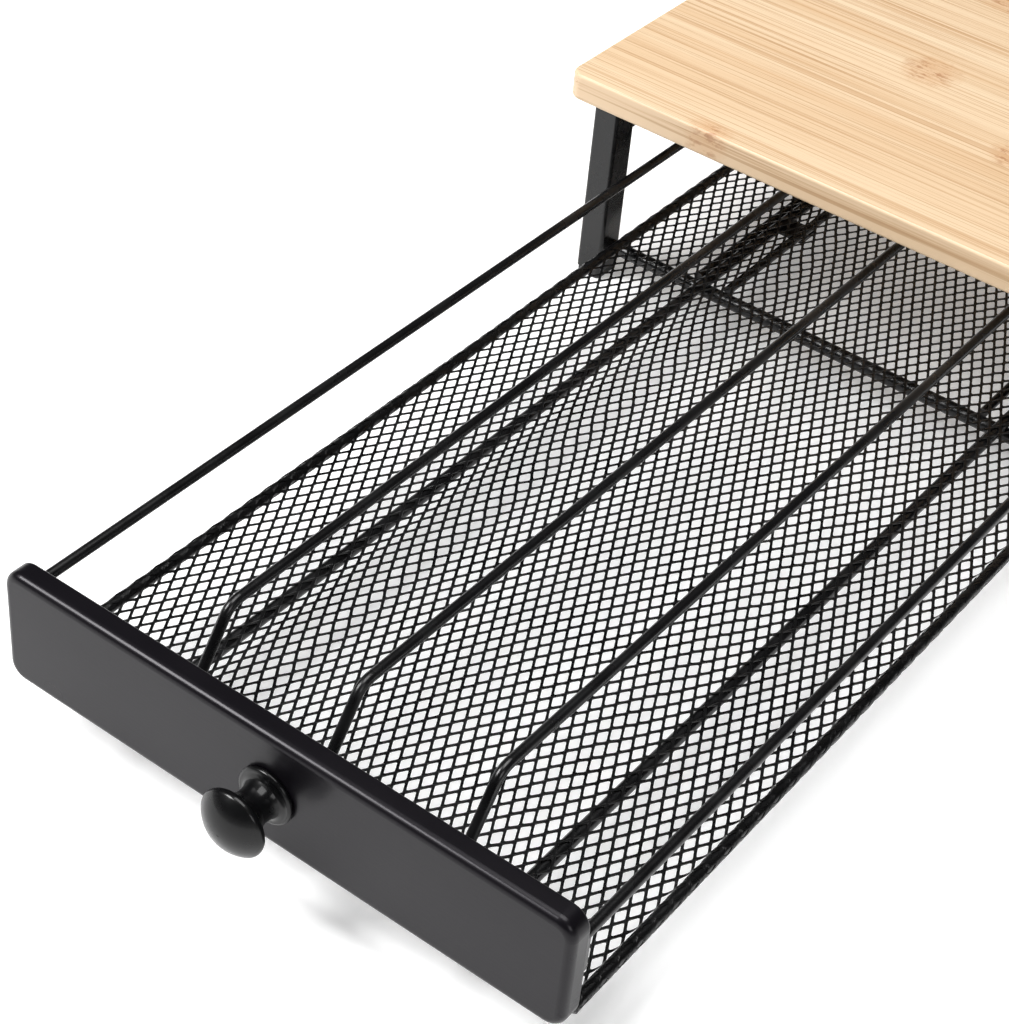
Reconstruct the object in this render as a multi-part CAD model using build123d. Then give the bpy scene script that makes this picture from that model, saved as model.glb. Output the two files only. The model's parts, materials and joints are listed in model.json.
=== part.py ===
"""Low desktop stand with a bamboo top and one long wire-and-mesh drawer, drawn out by DRAW_OUT.

Frame: X across, Y from the drawer's front to the back, Z up, in millimetres. The origin is on the
surface that the stand rests on, in the middle of the whole object's length and width.
"""

from build123d import *
from math import atan2, degrees
import os

# ---- driving dimensions ----
HEIGHT = 95.0  # surface of the bamboo top above the desk
TOP_WIDTH = 292.0
TOP_LENGTH = 500.0
TOP_THICKNESS = 12.0
TOP_CORNER = 6.0
TOP_EDGE = 1.5

DRAW_OUT = 351.0  # how far the drawer stands out of the stand
DRAW_FURTHER = 55.0  # how much further it goes before its hooks meet the front crossbar
STOP_CLEARANCE = 0.5
FLOOR_Z = 23.5  # upper face of the drawer's mesh floor
DRAWER_LENGTH = 480.0  # from the panel's back face to the rear end of the floor
MESH_THICKNESS = 1.0

PANEL_WIDTH = 230.0
PANEL_HEIGHT = 47.0
PANEL_THICKNESS = 9.0
PANEL_DROP = 2.0  # the panel reaches this far below the floor's upper face
PANEL_CORNER = 7.0
PANEL_FRONT_EDGE = 3.0
PANEL_BACK_EDGE = 1.0

ROD = 4.0  # wire of the drawer and of the guides
ROD_X = 112.0  # side rods, and the edge rods that the floor is rolled round
ROD_Z = FLOOR_Z + 32.1
DIVIDER_PITCH = 56.0
DIVIDER_Z = FLOOR_Z + 35.4
DIVIDER_FOOT_INSET = 11.9  # foot of the slanted end, from the end of the floor
DIVIDER_BEND_INSET = 35.1  # corner of the bend, from the end of the floor
DIVIDER_BEND_RADIUS = 8.0

RUNNER = 5.0
RUNNER_X = 71.5

LEG_WIDTH = 12.0
LEG_DEPTH = 14.0
LEG_WALL = 1.2
LEG_CORNER = 1.5
LEG_INNER_X = 121.0
LEG_SETBACK = 2.0  # from the board's front and rear faces
SIDE_RAIL = 12.0
FOOT_HEIGHT = 3.5
FOOT_PLUG = 8.0
FOOT_CLEARANCE = 0.2

CROSSBAR = 6.0
CROSSBAR_INSET = 1.5  # from the legs' centre planes towards the middle of the stand
SLIDE_CLEARANCE = 0.3  # between a runner and the crossbars
GUIDE_X = {"inner": 61.5, "outer": 76.6}  # each runner slides between two guides

KNOB_REACH = 23.0
KNOB_RIM = (11.9, 17.6)  # where the dome starts: radius, and distance from the panel
KNOB_Z = FLOOR_Z + 20.5
KNOB_THREAD_DEPTH = 12.0

TAB = (20.0, 18.0, 2.0)
PLATE = (11.0, 18.0, 1.5)  # fixing plates behind the panel
PANEL_SCREW = 2.6
PANEL_SCREW_DEPTH = 6.0
HOOK_LENGTH = 12.0
HOOK_PLATE = 1.7
HOOK_FOOT = 3.0
HOOK_CLEARANCE = 0.6  # between a hook's plate and the guides above it

# ---- derived places ----
KNOB_TIP_Y = -(KNOB_REACH + DRAW_OUT + TOP_LENGTH) / 2
PANEL_FRONT_Y = KNOB_TIP_Y + KNOB_REACH
PANEL_BACK_Y = PANEL_FRONT_Y + PANEL_THICKNESS
FLOOR_END_Y = PANEL_BACK_Y + DRAWER_LENGTH
TOP_FRONT_Y = PANEL_FRONT_Y + DRAW_OUT
TOP_REAR_Y = TOP_FRONT_Y + TOP_LENGTH
TOP_UNDER_Z = HEIGHT - TOP_THICKNESS
MESH_UNDER_Z = FLOOR_Z - MESH_THICKNESS
EDGE_ROD_Z = FLOOR_Z - MESH_THICKNESS / 2
RUNNER_Z = MESH_UNDER_Z - RUNNER / 2
CROSSBAR_Z = MESH_UNDER_Z - RUNNER - SLIDE_CLEARANCE - CROSSBAR / 2
GUIDE_Z = CROSSBAR_Z + CROSSBAR / 2 + ROD / 2
LEG_X = LEG_INNER_X + LEG_WIDTH / 2
LEG_FRONT_Y = TOP_FRONT_Y + LEG_SETBACK + LEG_DEPTH / 2
LEG_REAR_Y = TOP_REAR_Y - LEG_SETBACK - LEG_DEPTH / 2
CROSSBAR_FRONT_Y = LEG_FRONT_Y + CROSSBAR_INSET
CROSSBAR_REAR_Y = LEG_REAR_Y - CROSSBAR_INSET
FLOOR_BAR_Z = FLOOR_Z + ROD / 2
FRONT_BAR_Y = PANEL_BACK_Y + PLATE[2] + ROD / 2
REAR_FRAME_Y = FLOOR_END_Y - ROD / 2
RUNNER_END_Y = CROSSBAR_REAR_Y - CROSSBAR / 2 - DRAW_OUT - STOP_CLEARANCE
HOOK_Y = CROSSBAR_FRONT_Y + CROSSBAR / 2 + DRAW_FURTHER + STOP_CLEARANCE
SIDES = {"left": -1, "right": 1}
TAB_Y = [LEG_FRONT_Y + 40, (LEG_FRONT_Y + LEG_REAR_Y) / 2, LEG_REAR_Y - 40]
TAB_X = LEG_INNER_X - TAB[0] / 2

nodes = {}


# ---- shapes ----
def block(x, y, z):
    """A box from three (low, high) spans."""
    size = [b - a for a, b in (x, y, z)]
    middle = [(a + b) / 2 for a, b in (x, y, z)]
    return Pos(*middle) * Box(*size)


def rod_y(x, z, y0, y1, diameter):
    return Pos(x, (y0 + y1) / 2, z) * Rot(90, 0, 0) * Cylinder(diameter / 2, y1 - y0)


def rod_x(y, z, x0, x1, diameter):
    return Pos((x0 + x1) / 2, y, z) * Rot(0, 90, 0) * Cylinder(diameter / 2, x1 - x0)


def rod_z(x, y, z0, z1, diameter):
    return Pos(x, y, (z0 + z1) / 2) * Cylinder(diameter / 2, z1 - z0)


def tube_section(width, depth, wall, corner):
    return RectangleRounded(width, depth, corner) - RectangleRounded(
        width - 2 * wall, depth - 2 * wall, max(corner - wall, 0.3)
    )


def pan_screw(shank, length, head, head_height):
    """A screw along +Z: the head's upper face on z = 0 and the shank above it."""
    dome = fillet(
        (Pos(0, 0, -head_height / 2) * Cylinder(head / 2, head_height)).edges().sort_by(Axis.Z)[0],
        head_height * 0.6,
    )
    recess = Pos(0, 0, -head_height) * Box(head * 0.55, head * 0.12, head_height) + Pos(
        0, 0, -head_height
    ) * Box(head * 0.12, head * 0.55, head_height)
    return dome - recess + Pos(0, 0, length / 2) * Cylinder(shank / 2, length)


# ---- stand ----
def bamboo_top():
    board = Pos(0, (TOP_FRONT_Y + TOP_REAR_Y) / 2, TOP_UNDER_Z) * extrude(
        RectangleRounded(TOP_WIDTH, TOP_LENGTH, TOP_CORNER), TOP_THICKNESS
    )
    faces = board.faces().sort_by(Axis.Z)
    board = fillet(faces[0].edges() + faces[-1].edges(), TOP_EDGE)
    for x, y in screw_places():
        board -= rod_z(x, y, TOP_UNDER_Z - 1, TOP_UNDER_Z + 8, 3.4)
    return board


def screw_places():
    return [(side * (TAB_X - 2), y) for side in SIDES.values() for y in TAB_Y]


def leg(x, y):
    section = tube_section(LEG_WIDTH, LEG_DEPTH, LEG_WALL, LEG_CORNER)
    return Pos(x, y, FOOT_HEIGHT) * extrude(section, TOP_UNDER_Z - FOOT_HEIGHT)


def foot(x, y):
    pad = Pos(x, y, 0) * extrude(RectangleRounded(LEG_WIDTH, LEG_DEPTH, 3.0), FOOT_HEIGHT)
    pad = fillet(pad.faces().sort_by(Axis.Z)[0].edges(), 1.2)
    inset = 2 * (LEG_WALL + FOOT_CLEARANCE)
    plug = RectangleRounded(LEG_WIDTH - inset, LEG_DEPTH - inset, 1.0)
    return pad + Pos(x, y, FOOT_HEIGHT) * extrude(plug, FOOT_PLUG)


def side_rail(side):
    section = Plane.XZ * tube_section(SIDE_RAIL, SIDE_RAIL, LEG_WALL, LEG_CORNER)
    y0, y1 = LEG_FRONT_Y + LEG_DEPTH / 2, LEG_REAR_Y - LEG_DEPTH / 2
    return Pos(side * LEG_X, y1, TOP_UNDER_Z - SIDE_RAIL / 2) * extrude(section, y1 - y0)


def crossbar(y):
    return rod_x(y, CROSSBAR_Z, -LEG_INNER_X, LEG_INNER_X, CROSSBAR)


def stop_lug(side, bar):
    """A block welded on the rear crossbar between the guides, behind the end of a runner."""
    x = side * RUNNER_X
    y = (CROSSBAR_REAR_Y - CROSSBAR / 2, CROSSBAR_REAR_Y + CROSSBAR / 2)
    return block((x - 2.5, x + 2.5), y, (CROSSBAR_Z, MESH_UNDER_Z - 0.6)) - bar


def fixing_tab(side, y):
    x = side * TAB_X
    tab = block(
        (x - TAB[0] / 2, x + TAB[0] / 2), (y - TAB[1] / 2, y + TAB[1] / 2), (TOP_UNDER_Z - TAB[2], TOP_UNDER_Z)
    )
    inner = tab.edges().filter_by(Axis.Z).sort_by(lambda e: abs(e.center().X))[:2]
    return fillet(inner, 5) - rod_z(side * (TAB_X - 2), y, TOP_UNDER_Z - 5, TOP_UNDER_Z + 1, 4.4)


def build_stand():
    nodes["bamboo_top"] = bamboo_top()
    nodes["crossbar_front"] = crossbar(CROSSBAR_FRONT_Y)
    nodes["crossbar_rear"] = crossbar(CROSSBAR_REAR_Y)
    guide_ends = (CROSSBAR_FRONT_Y, CROSSBAR_REAR_Y + CROSSBAR / 2)
    for name, side in SIDES.items():
        for end, y in (("front", LEG_FRONT_Y), ("rear", LEG_REAR_Y)):
            nodes[f"leg_{end}_{name}"] = leg(side * LEG_X, y)
            nodes[f"foot_{end}_{name}"] = foot(side * LEG_X, y)
        nodes[f"side_rail_{name}"] = side_rail(side)
        for place, x in GUIDE_X.items():
            nodes[f"guide_rod_{place}_{name}"] = rod_y(side * x, GUIDE_Z, *guide_ends, ROD)
        nodes[f"stop_lug_{name}"] = stop_lug(side, nodes["crossbar_rear"])
        for place, y in zip(("front", "middle", "rear"), TAB_Y):
            nodes[f"fixing_tab_{place}_{name}"] = fixing_tab(side, y)
    screw = pan_screw(3.2, 9.0, 7.6, 2.5)
    nodes["board_screws"] = Compound(
        children=[Pos(x, y, TOP_UNDER_Z - TAB[2]) * screw for x, y in screw_places()]
    )


# ---- drawer ----
def plate_places():
    """Fixing plates behind the panel: centre x and z of each, with the height of its screw."""
    high, low = ROD_Z - 6, FLOOR_Z + PLATE[1] / 2
    return [(side * x, z) for side in SIDES.values() for x, z in ((109.0, high), (60.0, low))]


def front_panel():
    z = FLOOR_Z - PANEL_DROP + PANEL_HEIGHT / 2
    outline = Plane.XZ * RectangleRounded(PANEL_WIDTH, PANEL_HEIGHT, PANEL_CORNER)
    panel = Pos(0, PANEL_BACK_Y, z) * extrude(outline, PANEL_THICKNESS)
    faces = panel.faces().sort_by(Axis.Y)
    panel = fillet(faces[0].edges(), PANEL_FRONT_EDGE)
    panel = fillet(panel.faces().sort_by(Axis.Y)[-1].edges(), PANEL_BACK_EDGE)
    panel -= rod_y(0, KNOB_Z, PANEL_FRONT_Y - 1, PANEL_BACK_Y + 1, 4.6)
    for x, z in plate_places():
        panel -= rod_y(x, z, PANEL_BACK_Y - PANEL_SCREW_DEPTH - 0.5, PANEL_BACK_Y + 1, PANEL_SCREW + 0.2)
    return panel


def dome_arc(radius, low, high):
    """The arc of a sphere centred on the knob's axis, from (radius, low) up to (0, high)."""
    sphere = (radius**2 + (high - low) ** 2) / (2 * (high - low))
    start = degrees(atan2(low - high + sphere, radius))
    return CenterArc((0, high - sphere), sphere, start, 90 - start)


def knob():
    """A mushroom knob, turned about Y. The profile is radius against distance from the panel."""
    profile = [
        Line((0, 0), (9.8, 0)),
        ThreePointArc((9.8, 0), (10.7, 1.2), (9.7, 2.3)),
        ThreePointArc((9.7, 2.3), (8.4, 2.5), (7.4, 3.1)),
        ThreePointArc((7.4, 3.1), (6.5, 6.4), (6.9, 9.6)),
        ThreePointArc((6.9, 9.6), (8.8, 12.3), (11.7, 14.6)),
        ThreePointArc((11.7, 14.6), (12.5, 16.1), KNOB_RIM),
        dome_arc(*KNOB_RIM, KNOB_REACH),
        Line((0, KNOB_REACH), (0, 0)),
    ]
    turned = revolve(make_face(profile), Axis.Y)
    turned = Pos(0, PANEL_FRONT_Y, KNOB_Z) * Rot(180, 0, 0) * turned
    return turned - rod_y(0, KNOB_Z, PANEL_FRONT_Y - KNOB_THREAD_DEPTH, PANEL_FRONT_Y + 1, 4.1)


def facing_front(shape, x, y, z):
    """Turns a screw so that its shank points to the front, with its head's upper face at y."""
    return Pos(x, y, z) * Rot(90, 0, 0) * shape


def divider(x):
    front, rear = PANEL_BACK_Y, FLOOR_END_Y
    slope = (DIVIDER_BEND_INSET - DIVIDER_FOOT_INSET) / (DIVIDER_Z - FLOOR_Z)
    below = 4.0  # the wire is drawn this far below the floor's upper face, then cut level with it
    foot_inset = DIVIDER_FOOT_INSET - below * slope
    path = FilletPolyline(
        (x, front + foot_inset, FLOOR_Z - below),
        (x, front + DIVIDER_BEND_INSET, DIVIDER_Z),
        (x, rear - DIVIDER_BEND_INSET, DIVIDER_Z),
        (x, rear - foot_inset, FLOOR_Z - below),
        radius=DIVIDER_BEND_RADIUS,
    )
    wire = sweep(Plane(origin=path @ 0, z_dir=path % 0) * Circle(ROD / 2), path=path)
    return wire - block((x - 9, x + 9), (front - 9, rear + 9), (FLOOR_Z - 20, FLOOR_Z))


def fixing_plate(x, z):
    plate = block(
        (x - PLATE[0] / 2, x + PLATE[0] / 2),
        (PANEL_BACK_Y, PANEL_BACK_Y + PLATE[2]),
        (z - PLATE[1] / 2, z + PLATE[1] / 2),
    )
    plate = fillet(plate.edges().filter_by(Axis.Y), 2)
    return plate - rod_y(x, z, PANEL_BACK_Y - 1, PANEL_BACK_Y + 3, 3.2)


def tilt_hook(side, runner):
    """A foot under the runner, between the guides, and a plate that reaches below both of them."""
    y = (HOOK_Y, HOOK_Y + HOOK_LENGTH)
    top = GUIDE_Z - ROD / 2 - HOOK_CLEARANCE
    low = top - HOOK_PLATE
    foot_x = (side * RUNNER_X - HOOK_FOOT / 2, side * RUNNER_X + HOOK_FOOT / 2)
    plate_x = sorted((side * (GUIDE_X["inner"] - 1.5), side * (GUIDE_X["outer"] + 1.5)))
    return block(foot_x, y, (low, RUNNER_Z)) - runner + block(plate_x, y, (low, top))


def build_drawer():
    nodes["front_panel"] = front_panel()
    nodes["knob"] = knob()
    nodes["knob_screw"] = facing_front(pan_screw(4.0, 20.0, 8.0, 2.6), 0, PANEL_BACK_Y, KNOB_Z)
    half_floor = ROD_X - ROD / 2
    nodes["mesh_floor"] = block(
        (-half_floor, half_floor), (PANEL_BACK_Y + 0.5, FLOOR_END_Y), (MESH_UNDER_Z, FLOOR_Z)
    )
    bar_front = rod_x(FRONT_BAR_Y, FLOOR_BAR_Z, -ROD_X, ROD_X, ROD)
    bar_rear = rod_x(REAR_FRAME_Y, FLOOR_BAR_Z, -ROD_X, ROD_X, ROD)
    across = rod_x(REAR_FRAME_Y, ROD_Z, -ROD_X, ROD_X, ROD)
    for name, side in SIDES.items():
        side_rod = rod_y(side * ROD_X, ROD_Z, PANEL_BACK_Y + PLATE[2], FLOOR_END_Y, ROD)
        edge_rod = rod_y(side * ROD_X, EDGE_ROD_Z, PANEL_BACK_Y + 0.5, FLOOR_END_Y, ROD)
        post = rod_z(side * ROD_X, REAR_FRAME_Y, EDGE_ROD_Z, ROD_Z, ROD) - side_rod - edge_rod - across
        runner = rod_y(side * RUNNER_X, RUNNER_Z, PANEL_BACK_Y + 0.5, RUNNER_END_Y, RUNNER)
        nodes[f"side_rod_{name}"] = side_rod
        nodes[f"edge_rod_{name}"] = edge_rod
        nodes[f"rear_post_{name}"] = post
        nodes[f"runner_{name}"] = runner
        nodes[f"tilt_hook_{name}"] = tilt_hook(side, runner)
        across -= side_rod
        bar_front -= edge_rod
        bar_rear = bar_rear - edge_rod - post
    nodes["rear_rod"] = across
    nodes["floor_bar_front"] = bar_front
    nodes["floor_bar_rear"] = bar_rear
    for name, x in (("left", -DIVIDER_PITCH), ("centre", 0.0), ("right", DIVIDER_PITCH)):
        nodes[f"divider_{name}"] = divider(x)
    plate_names = ("high_left", "low_left", "high_right", "low_right")
    for name, (x, z) in zip(plate_names, plate_places()):
        nodes[f"fixing_plate_{name}"] = fixing_plate(x, z)
    screw = pan_screw(PANEL_SCREW, PLATE[2] + PANEL_SCREW_DEPTH, 5.6, 1.8)
    nodes["panel_screws"] = Compound(
        children=[facing_front(screw, x, PANEL_BACK_Y + PLATE[2], z) for x, z in plate_places()]
    )


build_stand()
build_drawer()

os.makedirs("parts", exist_ok=True)
for node, shape in nodes.items():
    export_step(shape, f"parts/{node}.step")
    print(node, len(shape.solids()), round(shape.volume, 1))
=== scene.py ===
import json
import bmesh
import bpy
from bisect import bisect_left
from math import asin, cos, exp, pi, radians, sin
from mathutils import Matrix, Vector


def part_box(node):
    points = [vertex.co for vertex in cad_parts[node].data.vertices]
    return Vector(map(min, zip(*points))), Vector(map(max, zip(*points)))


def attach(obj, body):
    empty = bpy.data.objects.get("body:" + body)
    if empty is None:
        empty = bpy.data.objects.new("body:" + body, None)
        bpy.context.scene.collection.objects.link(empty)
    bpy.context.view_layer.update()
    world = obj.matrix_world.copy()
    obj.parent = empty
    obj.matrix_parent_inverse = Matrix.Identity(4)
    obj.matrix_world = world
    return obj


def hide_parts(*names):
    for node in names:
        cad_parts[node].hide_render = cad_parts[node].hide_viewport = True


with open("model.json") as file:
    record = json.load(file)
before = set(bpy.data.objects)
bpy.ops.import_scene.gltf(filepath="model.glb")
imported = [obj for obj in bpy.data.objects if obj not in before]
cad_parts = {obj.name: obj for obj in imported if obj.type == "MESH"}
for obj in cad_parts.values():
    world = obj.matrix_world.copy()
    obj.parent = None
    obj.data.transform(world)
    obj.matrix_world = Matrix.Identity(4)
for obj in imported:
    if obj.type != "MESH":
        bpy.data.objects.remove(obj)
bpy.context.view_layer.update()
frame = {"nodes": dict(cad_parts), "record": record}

MM = 0.001


# ---- camera ----
CAMERA_ANGLES = (33.554, 40.023, 5.764)  # azimuth, elevation and roll, in degrees
CAMERA_PLACE = (0.33320, -0.80062, 0.59195)
FOCAL_LENGTH = 84.154  # on a sensor 36 mm wide


def add_camera():
    azimuth, elevation, roll = (radians(angle) for angle in CAMERA_ANGLES)
    forward = -Vector((
        sin(azimuth) * cos(elevation), -cos(azimuth) * cos(elevation), sin(elevation)
    ))
    level = forward.cross(Vector((0, 0, 1))).normalized()
    upright = level.cross(forward)
    right = cos(roll) * level + sin(roll) * upright
    up = -sin(roll) * level + cos(roll) * upright
    camera = bpy.data.objects.new("camera", bpy.data.cameras.new("camera"))
    bpy.context.collection.objects.link(camera)
    turn = Matrix((right, up, -forward)).transposed().to_4x4()
    camera.matrix_world = Matrix.Translation(CAMERA_PLACE) @ turn
    camera.data.lens = FOCAL_LENGTH
    camera.data.sensor_width = 36.0
    camera.data.clip_start = 0.01
    camera.data.clip_end = 50
    bpy.context.scene.camera = camera


# ---- material helpers ----
class Shader:
    """A Principled material and its nodes, on coordinates in metres in the CAD frame."""

    def __init__(self, name, color, roughness, **values):
        self.material = bpy.data.materials.new(name)
        self.material.use_nodes = True
        self.tree = self.material.node_tree
        self.bsdf = self.tree.nodes["Principled BSDF"]
        self.set("Base Color", (*color, 1))
        self.set("Roughness", roughness)
        for key, value in values.items():
            self.set(key.replace("_", " "), value)
        self.place = self.node("ShaderNodeTexCoord").outputs["Object"]

    def set(self, socket, value):
        self.bsdf.inputs[socket].default_value = value

    def node(self, kind, **values):
        node = self.tree.nodes.new(kind)
        for key, value in values.items():
            setattr(node, key, value)
        return node

    def link(self, a, b):
        self.tree.links.new(a, b)

    def plug(self, source, socket):
        self.link(source, self.bsdf.inputs[socket])

    def fill(self, socket, value):
        if isinstance(value, bpy.types.NodeSocket):
            self.link(value, socket)
        else:
            socket.default_value = value

    def math(self, operation, a, b=0.0):
        node = self.node("ShaderNodeMath", operation=operation)
        for socket, value in zip(node.inputs, (a, b)):
            self.fill(socket, value)
        return node.outputs[0]

    def stretched(self, scale, offset=(0, 0, 0)):
        node = self.node("ShaderNodeMapping")
        node.inputs["Scale"].default_value = scale
        node.inputs["Location"].default_value = offset
        self.link(self.place, node.inputs["Vector"])
        return node.outputs[0]

    def noise(self, scale, detail=3.0, rough=0.5, vector=None):
        node = self.node("ShaderNodeTexNoise")
        node.inputs["Scale"].default_value = scale
        node.inputs["Detail"].default_value = detail
        node.inputs["Roughness"].default_value = rough
        self.link(vector or self.place, node.inputs["Vector"])
        return node.outputs["Fac"]

    def span(self, value, low, high, to_low=0.0, to_high=1.0):
        node = self.node("ShaderNodeMapRange")
        for socket, x in zip(node.inputs, (value, low, high, to_low, to_high)):
            self.fill(socket, x)
        return node.outputs[0]

    def mix(self, factor, a, b):
        node = self.node("ShaderNodeMix", data_type="RGBA")
        self.fill(node.inputs["Factor"], factor)
        for socket, color in ((node.inputs[6], a), (node.inputs[7], b)):
            self.fill(socket, color if isinstance(color, bpy.types.NodeSocket) else (*color, 1))
        return node.outputs[2]

    def bump(self, height, strength, distance):
        node = self.node("ShaderNodeBump")
        node.inputs["Strength"].default_value = strength
        node.inputs["Distance"].default_value = distance
        self.link(height, node.inputs["Height"])
        self.plug(node.outputs[0], "Normal")


def powder_coat(name, color=(0.0042, 0.0042, 0.0045), roughness=0.25, gloss=0.38):
    """Satin powder coat on steel: a fine orange-peel skin, a little uneven in gloss."""
    s = Shader(name, color, roughness, Specular_IOR_Level=gloss)
    peel = s.noise(2600, 2.0)
    cloud = s.noise(55, 3.0)
    s.plug(s.span(cloud, 0.3, 0.7, roughness - 0.05, roughness + 0.07), "Roughness")
    dark = tuple(0.75 * c for c in color)
    light = tuple(1.35 * c for c in color)
    s.plug(s.mix(s.span(cloud, 0.3, 0.75), dark, light), "Base Color")
    s.bump(peel, 0.25, 0.00012)
    return s.material


def panel_paint():
    """Black satin paint rolled on board: a soft uneven gloss over a faintly grained face."""
    s = Shader("panel_paint", (0.0040, 0.0034, 0.0046), 0.30, Coat_Weight=0.16, Coat_Roughness=0.20)
    s.set("Specular IOR Level", 0.13)
    s.set("Specular Tint", (0.96, 0.91, 1.0, 1))
    film = s.noise(900, 3.0)
    grain = s.noise(60, 4.0, 0.6, s.stretched((1.0, 6.0, 14.0)))
    cloud = s.noise(22, 2.0)
    s.plug(s.span(cloud, 0.3, 0.7, 0.26, 0.36), "Roughness")
    s.plug(s.mix(grain, (0.0032, 0.0027, 0.0038), (0.0048, 0.0042, 0.0056)), "Base Color")
    s.bump(s.math("ADD", s.math("MULTIPLY", film, 0.5), grain), 0.16, 0.00010)
    return s.material


def knob_enamel():
    s = Shader("knob_enamel", (0.003, 0.003, 0.0033), 0.30, Coat_Weight=0.22, Coat_Roughness=0.06)
    s.set("Specular IOR Level", 0.16)
    s.plug(s.span(s.noise(120, 3.0), 0.3, 0.7, 0.25, 0.35), "Roughness")
    s.bump(s.noise(700, 2.0), 0.08, 0.00008)
    return s.material


STRIP_WIDTH = 0.0115
# nodes of the bamboo that show on the board: x, y, half length and half width
BAMBOO_NODES = (
    (-0.035, 0.046, 0.013, 0.013),
    (-0.077, -0.0600, 0.011, 0.005),
    (-0.040, 0.128, 0.011, 0.012),
    (0.024, 0.009, 0.011, 0.009),
    (0.096, 0.072, 0.012, 0.011),
    (-0.108, 0.171, 0.012, 0.012),
    (0.061, 0.236, 0.012, 0.010),
    (-0.055, 0.318, 0.012, 0.012),
    (0.118, 0.357, 0.011, 0.011),
    (-0.012, 0.404, 0.012, 0.010),
)


def bamboo():
    """Side-pressed bamboo: strips across the board, with dark fibres and a few brown nodes."""
    s = Shader("bamboo", (0.60, 0.44, 0.27), 0.45, Coat_Weight=0.06, Coat_Roughness=0.35)
    split = s.node("ShaderNodeSeparateXYZ")
    s.link(s.place, split.inputs[0])
    x, y, _ = split.outputs
    # strips run along X; each has its own lane along Y and its own tone
    wander = s.math("MULTIPLY", s.math("SUBTRACT", s.noise(5, 2.0), 0.5), 0.006)
    strip = s.math("FLOOR", s.math("DIVIDE", s.math("ADD", y, wander), STRIP_WIDTH))
    tone = s.node("ShaderNodeTexWhiteNoise", noise_dimensions="1D")
    s.link(strip, tone.inputs["W"])
    # fibres: very long along X, fine along Y
    fibre = s.noise(1.0, 3.0, 0.6, s.stretched((4.0, 1150.0, 600.0)))
    streak = s.noise(1.0, 4.0, 0.65, s.stretched((2.4, 420.0, 200.0), (3.1, 1.7, 0.4)))
    band = s.noise(1.0, 3.0, 0.55, s.stretched((1.4, 75.0, 40.0), (0.4, 2.2, 0.0)))
    base = s.mix(s.span(band, 0.34, 0.66), (0.680, 0.515, 0.340), (0.600, 0.408, 0.240))
    lighter = s.math("MULTIPLY", tone.outputs["Value"], 0.55)
    base = s.mix(lighter, base, (0.735, 0.575, 0.395))
    base = s.mix(s.span(streak, 0.54, 0.61, 0.0, 0.55), base, (0.45, 0.262, 0.125))
    base = s.mix(s.span(fibre, 0.54, 0.59, 0.0, 0.62), base, (0.40, 0.228, 0.105))
    # nodes: soft brown patches broken up by short fibres
    torn = s.noise(1.0, 3.0, 0.7, s.stretched((150.0, 520.0, 300.0)))
    blotch = s.math("MULTIPLY", s.math("SUBTRACT", s.noise(160, 3.0, 0.7), 0.5), 1.3)
    patch = None
    for x0, y0, half_x, half_y in BAMBOO_NODES:
        across = s.math("DIVIDE", s.math("SUBTRACT", x, x0), half_x)
        along = s.math("DIVIDE", s.math("SUBTRACT", y, y0), half_y)
        squares = s.math("ADD", s.math("MULTIPLY", across, across), s.math("MULTIPLY", along, along))
        reach = s.math("ADD", squares, blotch)
        here = s.span(reach, 0.05, 1.25, 1.0, 0.0)
        patch = here if patch is None else s.math("MAXIMUM", patch, here)
    soft = s.math("MULTIPLY", patch, 0.45)
    base = s.mix(soft, base, (0.52, 0.28, 0.13))
    sharp = s.math("MULTIPLY", patch, s.span(torn, 0.52, 0.60))
    base = s.mix(s.math("MULTIPLY", sharp, 0.8), base, (0.36, 0.17, 0.075))
    s.plug(base, "Base Color")
    s.plug(s.span(streak, 0.3, 0.7, 0.40, 0.52), "Roughness")
    s.bump(s.math("ADD", fibre, streak), 0.2, 0.00012)
    return s.material


def rubber():
    s = Shader("foot_rubber", (0.018, 0.018, 0.018), 0.75)
    s.plug(s.span(s.noise(300, 4.0), 0.3, 0.7, 0.68, 0.85), "Roughness")
    s.bump(s.noise(1500, 3.0), 0.3, 0.00012)
    return s.material


def screw_steel():
    s = Shader("screw_steel", (0.45, 0.45, 0.46), 0.3, Metallic=1.0)
    turned = s.noise(1.0, 3.0, 0.6, s.stretched((500, 500, 6000)))
    s.plug(s.span(turned, 0.3, 0.7, 0.22, 0.42), "Roughness")
    s.plug(s.mix(turned, (0.32, 0.32, 0.33), (0.55, 0.55, 0.56)), "Base Color")
    return s.material


def paint_nodes():
    slots = {p["node"]: p["material_slot"] for p in frame["record"]["subparts"]}
    finishes = {
        "bamboo": bamboo(),
        "panel_paint": panel_paint(),
        "knob_enamel": knob_enamel(),
        "black_steel": powder_coat("black_steel"),
        "mesh_steel": powder_coat("mesh_steel", (0.0028, 0.0028, 0.0030), 0.28, 0.30),
        "foot_rubber": rubber(),
        "screw_steel": screw_steel(),
    }
    for name, piece in frame["nodes"].items():
        piece.data.materials.clear()
        piece.data.materials.append(finishes[slots[name]])
    return finishes


# ---- expanded metal floor ----
# The sheet is two families of slanting strands. Its flat coordinates are w across the drawer and y
# along it; w runs on past the flat part, through a bend and round the edge rod.
STRAND = 1.08 * MM  # width of a strand
GAUGE = 0.44 * MM  # thickness of the sheet
LEAN = 0.30 * MM  # how far a strand's edges stand above and below its middle
FIRST_FAMILY = (0.204, 0.1035)  # strands to a millimetre across and along the drawer
SECOND_FAMILY_Y = 0.100
# Strands to a millimetre across the drawer in the second family: closer together than this left of
# the middle, further apart right of it, and even again beyond the reach.
SECOND_FAMILY_X = 0.200
PULL = 0.028
PULL_REACH = 90.0
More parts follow.
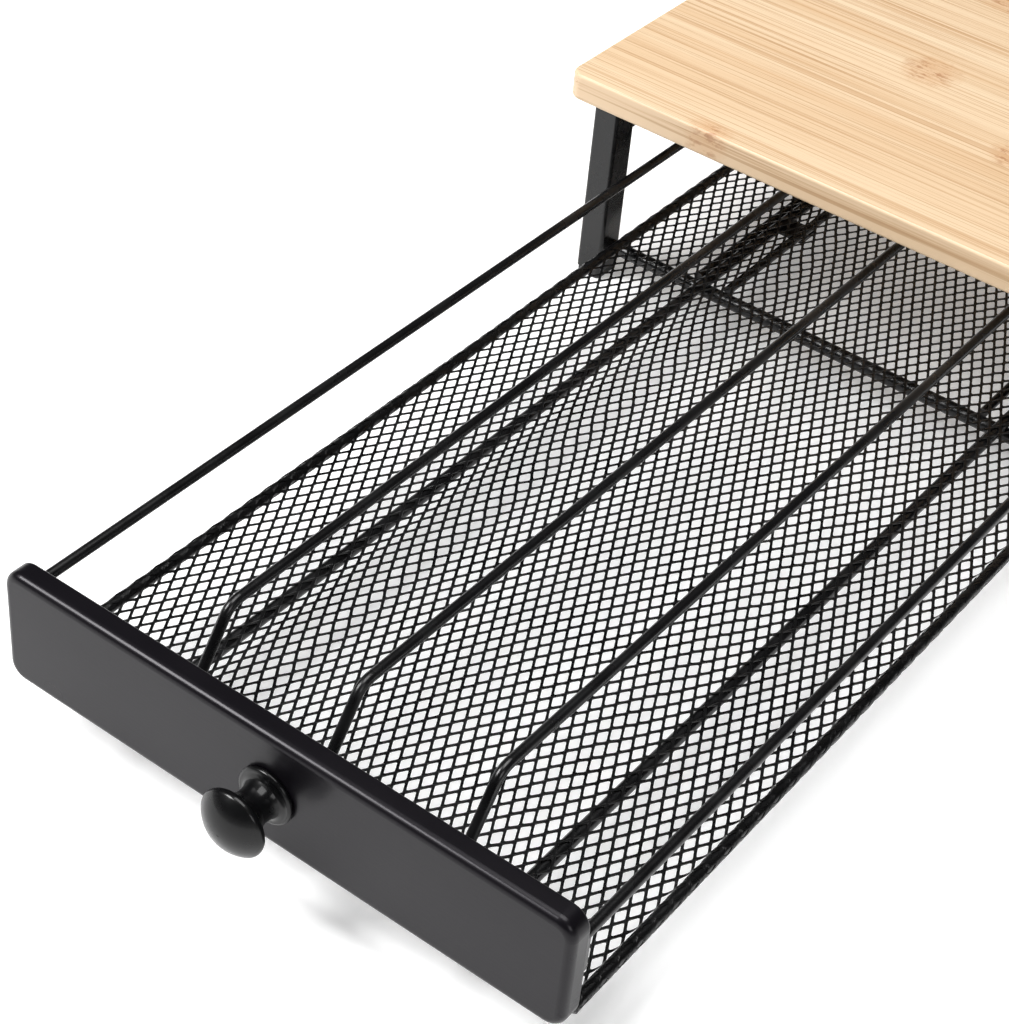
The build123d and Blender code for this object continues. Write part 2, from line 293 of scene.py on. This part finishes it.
# bends of the sheet, where its cells are squeezed or pulled wider: place and reach in millimetres,
# and the change in the density of each family
CREASES = (
    (-62.5, 2.6, 0.34, 0.34),
    (-46.0, 3.2, -0.24, -0.24),
    (57.0, 3.6, 0.10, -0.22),
)
BEND_RADIUS = 2.0 * MM
ROLL_GAP = (0.32 * MM, 0.10 * MM)  # from the edge rod to the sheet: its first turn and its end
ROLL_ANGLE = radians(780)
ROLL_PRESS = 0.3  # how much of its height the sheet keeps where it is rolled tight
# strands are counted along the sheet's front edge in steps of this, out to the half width, in
# millimetres
TABLE_STEP = 0.25
TABLE_HALF = 146.0
# from the middle of the front edge to strand 0 of each family, in strand spacings
PHASES = (0.59, 0.35)
# enough strands of each family to cover the sheet
FIRST_STRANDS = range(-32, 84)
SECOND_STRANDS = range(-80, 34)
# from the sheet's middle to where its five pieces meet
MIDDLE_EDGE = 35 * MM
ROLLED_EDGE = 104 * MM
POINTS_TO_A_METRE = 1e7  # points that round to the same place are one point
THIN_FACE = 1e-12  # a face with less area than this, in square metres, is left out


def second_family(x):
    if abs(x) >= PULL_REACH:
        return SECOND_FAMILY_X
    return SECOND_FAMILY_X - PULL * sin(pi * x / PULL_REACH)


def strand_tables():
    """Both families' strand numbers along y = 0, from the left edge of the sheet to the right."""
    places, first, second = [-TABLE_HALF], [0.0], [0.0]
    while places[-1] < TABLE_HALF:
        x = places[-1] + TABLE_STEP / 2
        pulls = [1.0, 1.0]
        for centre, reach, *changes in CREASES:
            near = exp(-(((x - centre) / reach) ** 2))
            pulls = [pull + change * near for pull, change in zip(pulls, changes)]
        places.append(places[-1] + TABLE_STEP)
        first.append(first[-1] + TABLE_STEP * FIRST_FAMILY[0] * pulls[0])
        second.append(second[-1] + TABLE_STEP * second_family(x) * pulls[1])
    middle = len(places) // 2
    return places, [v - first[middle] for v in first], [v - second[middle] for v in second]


class Lattice:
    """Where strand m of the first family crosses strand n of the second, in metres."""

    def __init__(self, y_origin, phases):
        self.places, self.first, second = strand_tables()
        self.ratio = SECOND_FAMILY_Y / FIRST_FAMILY[1]
        self.sums = [b + self.ratio * a for a, b in zip(self.first, second)]
        self.y_origin = y_origin
        self.phases = phases

    def crossing(self, m, n):
        m, n = m + self.phases[0], n + self.phases[1]
        total = n + self.ratio * m
        i = min(max(bisect_left(self.sums, total), 1), len(self.sums) - 1)
        t = (total - self.sums[i - 1]) / (self.sums[i] - self.sums[i - 1])
        w = self.places[i - 1] + TABLE_STEP * t
        first = self.first[i - 1] + (self.first[i] - self.first[i - 1]) * t
        return w * MM, self.y_origin + (m - first) / FIRST_FAMILY[1] * MM


class Roll:
    """The sheet's section: flat, then bent up on to the edge rod and wrapped round it."""

    def __init__(self, middle_z, rod_x, rod_z, rod_radius):
        self.middle, self.rod_x, self.rod_z = middle_z, rod_x, rod_z
        self.radius, self.last_radius = (rod_radius + gap for gap in ROLL_GAP)
        reach = BEND_RADIUS + self.radius
        self.flat = rod_x - (reach**2 - BEND_RADIUS**2) ** 0.5
        self.rise = pi / 2 - asin(BEND_RADIUS / reach)
        self.start = pi - asin(BEND_RADIUS / reach)
        mean_radius = (self.radius + self.last_radius) / 2
        self.turned = mean_radius * ROLL_ANGLE
        self.half_width = self.flat + BEND_RADIUS * self.rise + self.turned

    def place(self, w, offset):
        side, s = (1 if w >= 0 else -1), abs(w) - self.flat
        if s <= 0:
            return w, self.middle + offset
        if s <= BEND_RADIUS * self.rise:
            angle, r = s / BEND_RADIUS, BEND_RADIUS - offset * ROLL_PRESS
            return side * (self.flat + r * sin(angle)), self.middle + BEND_RADIUS - r * cos(angle)
        t = (s - BEND_RADIUS * self.rise) / self.turned
        angle = self.start - t * ROLL_ANGLE
        r = self.radius + (self.last_radius - self.radius) * t + offset * ROLL_PRESS
        return side * (self.rod_x + r * cos(angle)), self.rod_z + r * sin(angle)


# where each side of a cell has extra points; more of them where the sheet is rolled
FLAT_STEPS = (0.2, 0.8)
ROLLED_STEPS = (0.2, 0.4, 0.6, 0.8)


def cell_ring(steps):
    """Points round a diamond cell as (u, v), with how far a corner is drawn in to round it."""
    corners = ((1, 0, 0.95), (0, 1, 0.91), (-1, 0, 0.95), (0, -1, 0.91))
    ring = []
    for (u0, v0, drawn_in), (u1, v1, _) in zip(corners, corners[1:] + corners[:1]):
        ring.append((u0, v0, drawn_in))
        ring += [(u0 + (u1 - u0) * t, v0 + (v1 - v0) * t, 1.0) for t in steps]
    return ring


def sheet_piece(name, cells, lattice, roll, y_low, y_high, steps, material):
    """Expanded metal: every cell is a frame of four half strands round a diamond opening."""
    ring = cell_ring(steps)
    count = len(ring)
    verts, faces, known = [], [], {}

    def vertex(w, y, offset):
        y = min(max(y, y_low), y_high)
        key = tuple(round(v * POINTS_TO_A_METRE) for v in (w, y, offset))
        if key not in known:
            x, z = roll.place(w, offset)
            known[key] = len(verts)
            verts.append((x, y, z))
        return known[key]

    for m, n in cells:
        left, right = lattice.crossing(m, n), lattice.crossing(m + 1, n + 1)
        far, near = lattice.crossing(m + 1, n), lattice.crossing(m, n + 1)
        middle = [sum(p[i] for p in (left, right, far, near)) / 4 for i in (0, 1)]
        width, length = right[0] - left[0], far[1] - near[1]
        edge = ((width / 2) ** 2 + (length / 2) ** 2) ** 0.5
        inner = 1 - STRAND * edge / (width * length / 2)

        def at(u, v):
            a = right if u > 0 else left
            b = far if v > 0 else near
            return tuple(c + abs(u) * (p - c) + abs(v) * (q - c) for c, p, q in zip(middle, a, b))

        loops = []
        for half in (GAUGE / 2, -GAUGE / 2):
            outer_loop = [vertex(*at(u, v), half) for u, v, _ in ring]
            inner_loop = []
            for u, v, drawn_in in ring:
                k = inner * drawn_in
                inner_loop.append(vertex(*at(u * k, v * k), half - u * LEAN))
            loops.append((outer_loop, inner_loop))
        (top_out, top_in), (low_out, low_in) = loops
        for i in range(count):
            j = (i + 1) % count
            faces.append((top_out[i], top_out[j], top_in[j], top_in[i]))
            faces.append((low_out[j], low_out[i], low_in[i], low_in[j]))
            faces.append((top_in[i], top_in[j], low_in[j], low_in[i]))

    faces = [f for f in faces if len(set(f)) == 4]
    data = bpy.data.meshes.new(name)
    data.from_pydata(verts, [], faces)
    bm = bmesh.new()
    bm.from_mesh(data)
    thin = [f for f in bm.faces if f.calc_area() < THIN_FACE]
    bmesh.ops.delete(bm, geom=thin, context="FACES")
    bmesh.ops.recalc_face_normals(bm, faces=bm.faces)
    bm.to_mesh(data)
    bm.free()
    data.materials.append(material)
    piece = bpy.data.objects.new(name, data)
    bpy.context.collection.objects.link(piece)
    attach(piece, "drawer")
    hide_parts("mesh_floor")


def expanded_floor(material):
    low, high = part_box("mesh_floor")
    rod_low, rod_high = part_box("edge_rod_right")
    roll = Roll(
        (low.z + high.z) / 2,
        (rod_low.x + rod_high.x) / 2,
        (rod_low.z + rod_high.z) / 2,
        (rod_high.x - rod_low.x) / 2,
    )
    lattice = Lattice(low.y, PHASES)
    zones = {
        "rolled_edge_left": (-roll.half_width, -ROLLED_EDGE, ROLLED_STEPS),
        "expanded_floor_left": (-ROLLED_EDGE, -MIDDLE_EDGE, FLAT_STEPS),
        "expanded_floor_middle": (-MIDDLE_EDGE, MIDDLE_EDGE, FLAT_STEPS),
        "expanded_floor_right": (MIDDLE_EDGE, ROLLED_EDGE, FLAT_STEPS),
        "rolled_edge_right": (ROLLED_EDGE, roll.half_width, ROLLED_STEPS),
    }
    cells = {name: [] for name in zones}
    for m in FIRST_STRANDS:
        for n in SECOND_STRANDS:
            left, right = lattice.crossing(m, n), lattice.crossing(m + 1, n + 1)
            far, near = lattice.crossing(m + 1, n), lattice.crossing(m, n + 1)
            if left[0] < -roll.half_width or right[0] > roll.half_width:
                continue
            if near[1] > high.y - STRAND or far[1] < low.y + STRAND:
                continue
            centre = (left[0] + right[0]) / 2
            for name, (start, end, _) in zones.items():
                if start <= centre < end:
                    cells[name].append((m, n))
    for name, (_, _, steps) in zones.items():
        sheet_piece(name, cells[name], lattice, roll, low.y, high.y, steps, material)


# ---- stage ----
FLOOR_HALF = 6.0
FLOOR_GLOW = 0.28
# heights that the light from the horizon falls off between, and its strength at each
HORIZON = (0.02, 0.24, 0.68, 0.04)
LIGHT_TARGET = (0, -0.1, 0)


def floor_and_lights():
    bm = bmesh.new()
    bmesh.ops.create_grid(bm, x_segments=1, y_segments=1, size=FLOOR_HALF)
    data = bpy.data.meshes.new("studio_floor")
    bm.to_mesh(data)
    bm.free()
    s = Shader("studio_floor", (0.90, 0.90, 0.90), 0.9, Specular_IOR_Level=0.0)
    s.set("Emission Color", (1, 1, 1, 1))
    s.set("Emission Strength", FLOOR_GLOW)
    data.materials.append(s.material)
    floor = bpy.data.objects.new("studio_floor", data)
    bpy.context.collection.objects.link(floor)

    # light from round the horizon, which falls off to a dim sky above
    world = bpy.data.worlds.new("studio")
    world.use_nodes = True
    nodes, links = world.node_tree.nodes, world.node_tree.links
    direction = nodes.new("ShaderNodeTexCoord")
    split = nodes.new("ShaderNodeSeparateXYZ")
    fade = nodes.new("ShaderNodeMapRange")
    links.new(direction.outputs["Generated"], split.inputs[0])
    links.new(split.outputs["Z"], fade.inputs["Value"])
    for socket, value in zip(("From Min", "From Max", "To Min", "To Max"), HORIZON):
        fade.inputs[socket].default_value = value
    links.new(fade.outputs[0], nodes["Background"].inputs["Strength"])
    nodes["Background"].inputs["Color"].default_value = (1, 1, 1, 1)
    bpy.context.scene.world = world

    def softbox(name, place, side, power):
        light = bpy.data.lights.new(name, "AREA")
        light.shape = "RECTANGLE"
        light.size, light.size_y = side, side
        light.energy = power
        lamp = bpy.data.objects.new(name, light)
        lamp.location = place
        aim = Vector(LIGHT_TARGET) - Vector(place)
        lamp.rotation_euler = aim.to_track_quat("-Z", "Y").to_euler()
        bpy.context.collection.objects.link(lamp)

    softbox("key", (-1.15, -1.35, 1.75), side=0.8, power=56)
    softbox("overhead", (0.0, -0.1, 2.1), side=1.3, power=38)
    softbox("fill", (1.7, -1.1, 1.2), side=0.8, power=8)
    bpy.context.scene.view_settings.view_transform = "Standard"


add_camera()
finish = paint_nodes()
expanded_floor(finish["mesh_steel"])
floor_and_lights()
